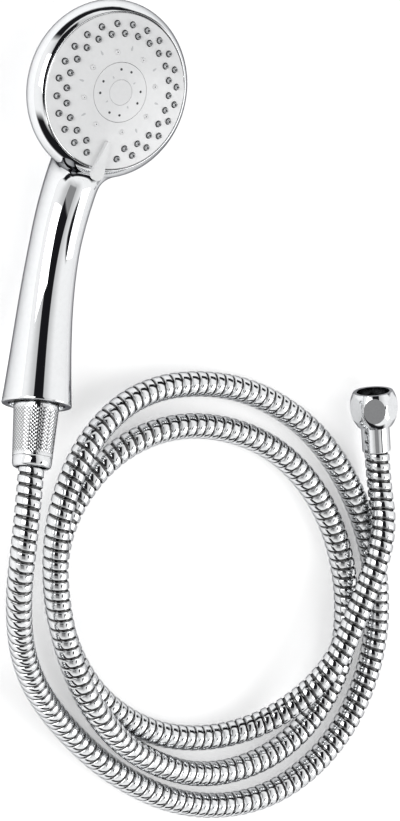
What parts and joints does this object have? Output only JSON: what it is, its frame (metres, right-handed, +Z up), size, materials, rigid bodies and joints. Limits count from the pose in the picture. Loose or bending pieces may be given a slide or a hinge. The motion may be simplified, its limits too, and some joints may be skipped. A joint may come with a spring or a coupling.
{
  "type": "handheld shower head",
  "caption": "Handheld shower head with a round lever-switched spray face, chromed handle and looped metal hose with a knurled cone nut and a hexagon nut.",
  "frame": {"origin": "on the floor under the middle of the shower without its hose", "axes": "+Z up and out of the spray face, +Y from the handle's end to the head, X across the handle, which is symmetric about X = 0"},
  "size_m": [0.3252, 0.4359, 0.0592],
  "materials": {
    "chrome_shell": "mirror chrome plating on plastic",
    "chrome_nuts": "mirror chrome plating on brass",
    "hose_metal": "mirror chrome plating on a steel double-lock strip",
    "white_plastic": "glossy white moulding",
    "nozzle_rubber": "smooth grey silicone",
    "seal_rubber": "black sealing rubber",
    "dark_plastic": "matt moulding",
    "grey_plastic": "matt moulding",
    "liner_plastic": "matt soft tube",
    "steel_parts": "plain stainless steel",
    "brass_parts": "machined brass"
  },
  "bodies": {
    "shower": {"body_shell": "chrome_shell", "inlet_spigot": "brass_parts", "flow_restrictor": "dark_plastic", "tube_seal": "seal_rubber", "waterway_tube": "grey_plastic", "manifold": "grey_plastic", "manifold_screws": "steel_parts", "feed_seal": "seal_rubber", "detent_ball": "steel_parts", "detent_spring": "steel_parts", "face_screw": "steel_parts", "screw_washer": "steel_parts", "washer_cone_end": "seal_rubber", "tail_cone_end": "brass_parts", "sleeve_cone_end": "steel_parts", "hose_casing": "hose_metal", "hose_liner": "liner_plastic", "ferrule_nut_end": "chrome_nuts", "washer_nut_end": "seal_rubber", "tail_nut_end": "brass_parts"},
    "spray_face": {"channel_disc": "white_plastic", "spray_plate": "white_plastic", "nozzle_mat": "nozzle_rubber", "mist_jets": "white_plastic", "massage_insert": "white_plastic", "centre_cap": "white_plastic"},
    "rotor": {"massage_rotor": "grey_plastic"},
    "cone_nut_body": {"cone_nut": "chrome_nuts"},
    "hex_nut_body": {"hex_nut": "chrome_nuts"}
  },
  "joints": [
    {"name": "selector_turn", "type": "hinge", "parent": "shower", "child": "spray_face", "pos_m": [0, 0.06874, 0.03915], "axis": [0, 0, 1], "range_deg": [-30, 30]},
    {"name": "rotor_spin", "type": "hinge", "parent": "spray_face", "child": "rotor", "pos_m": [0, 0.06874, 0.03915], "axis": [0, 0, 1], "continuous": true},
    {"name": "cone_nut_turn", "type": "hinge", "parent": "shower", "child": "cone_nut_body", "pos_m": [0, -0.12024, 0.04035], "axis": [0, 0.9532, -0.3024], "continuous": true},
    {"name": "hex_nut_turn", "type": "hinge", "parent": "shower", "child": "hex_nut_body", "pos_m": [0.22644, -0.07269, 0.01386], "axis": [-0.3437, 0.9391, 0], "continuous": true}
  ]
}
